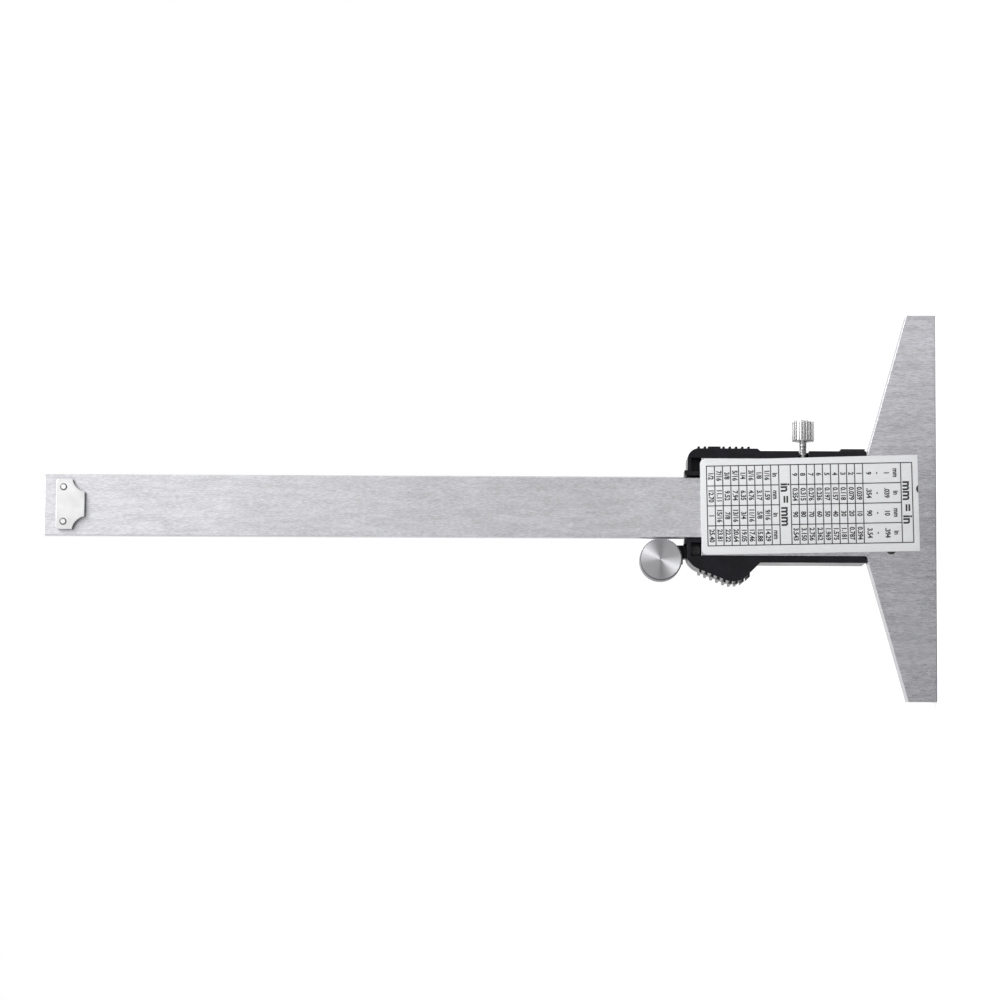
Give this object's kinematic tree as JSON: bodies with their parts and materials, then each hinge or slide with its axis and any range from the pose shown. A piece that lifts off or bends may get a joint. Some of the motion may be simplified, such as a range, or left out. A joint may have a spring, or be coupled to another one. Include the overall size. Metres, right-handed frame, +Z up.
{
  "type": "depth gauge",
  "caption": "Electronic depth gauge: a steel measuring base with a display unit that slides along a flat graduated rod, driven by a thumb wheel and held by a lock screw.",
  "frame": {"origin": "middle of the rod's end face, flush with the base's measuring face at zero", "axes": "+Z up the rod from the measuring face, +X towards the thumb wheel, +Y towards the labelled back, so the display faces -Y"},
  "size_m": [0.1, 0.0161, 0.231],
  "materials": {
    "rod_steel": "brushed along the rod",
    "base_steel": "brushed along the rod's direction",
    "polished_steel": "polished",
    "turned_steel": "turned, fine circular lay",
    "brass": "plain",
    "dark_screw": "blackened",
    "label_silver": "printed silver film, satin",
    "scale_film": "printed film, satin",
    "black_plastic": "moulded, satin",
    "light_plastic": "moulded, silver paint",
    "white_plastic": "moulded",
    "clear_window": "clear, polished",
    "display_glass": "grey-green liquid crystal cell",
    "connector_rubber": "layered elastomer",
    "board_green": "solder mask",
    "chip_epoxy": "glossy epoxy",
    "contact_metal": "nickel plated",
    "gold_contact": "gold plated",
    "cell_steel": "nickel plated",
    "button_plastic": "moulded, satin"
  },
  "bodies": {
    "rod": {"beam": "rod_steel", "scale_strip": "board_green", "scale_overlay": "scale_film", "stop_plate": "polished_steel", "stop_plate_rivets": "polished_steel"},
    "slider": {"measuring_base": "base_steel", "back_label": "label_silver", "gib_strip": "brass", "gib_screws": "dark_screw", "housing": "black_plastic", "front_bezel": "light_plastic", "lcd_window": "clear_window", "lcd_glass": "display_glass", "lcd_carrier": "white_plastic", "lcd_connectors": "connector_rubber", "circuit_board": "board_green", "signal_chip": "chip_epoxy", "button_domes": "contact_metal", "battery": "cell_steel", "battery_contact_back": "contact_metal", "battery_contact_side": "contact_metal", "data_socket": "gold_contact", "housing_screws": "dark_screw", "board_screws": "dark_screw", "wheel_bracket": "black_plastic", "bracket_screw": "dark_screw"},
    "wheel": {"thumb_wheel": "turned_steel", "wheel_axle": "turned_steel"},
    "pad": {"lock_pad": "brass"},
    "screw": {"lock_screw": "turned_steel"},
    "power": {"power_button": "button_plastic"},
    "zero": {"zero_button": "button_plastic"},
    "unit": {"unit_button": "button_plastic"},
    "cell_door": {"battery_cover": "light_plastic"},
    "port_door": {"data_port_cover": "black_plastic"}
  },
  "joints": [
    {"name": "base_slide", "type": "slide", "parent": "rod", "child": "slider", "axis": [0, 0, 1], "range_m": [0, 0.159]},
    {"name": "wheel_spin", "type": "hinge", "parent": "slider", "child": "wheel", "pos_m": [0.01355, 0, 0.0709], "axis": [0, -1, 0], "range_deg": [0, 1657]},
    {"name": "lock_pad_slide", "type": "slide", "parent": "slider", "child": "pad", "axis": [1, 0, 0], "range_m": [-0.0015, 0.0002]},
    {"name": "lock_screw_turn", "type": "hinge", "parent": "pad", "child": "screw", "pos_m": [-0.017, 0, 0.034], "axis": [1, 0, 0], "range_deg": [-1350, 180]},
    {"name": "power_press", "type": "slide", "parent": "slider", "child": "power", "axis": [0, 1, 0], "range_m": [0, 0.0005], "stiffness_N_per_m": 800, "springref_m": -0.0003},
    {"name": "zero_press", "type": "slide", "parent": "slider", "child": "zero", "axis": [0, 1, 0], "range_m": [0, 0.0005], "stiffness_N_per_m": 800, "springref_m": -0.0003},
    {"name": "unit_press", "type": "slide", "parent": "slider", "child": "unit", "axis": [0, 1, 0], "range_m": [0, 0.0005], "stiffness_N_per_m": 800, "springref_m": -0.0003},
    {"name": "battery_cover_slide", "type": "slide", "parent": "slider", "child": "cell_door", "axis": [0, 0, 1], "range_m": [0, 0.015]},
    {"name": "port_cover_slide", "type": "slide", "parent": "slider", "child": "port_door", "axis": [0, 0, 1], "range_m": [0, 0.006]}
  ],
  "couplings": [
    {"joint": "wheel_spin", "follows": "base_slide", "rad_per_m": 181.82},
    {"joint": "lock_screw_turn", "follows": "lock_pad_slide", "rad_per_m": 15708}
  ]
}
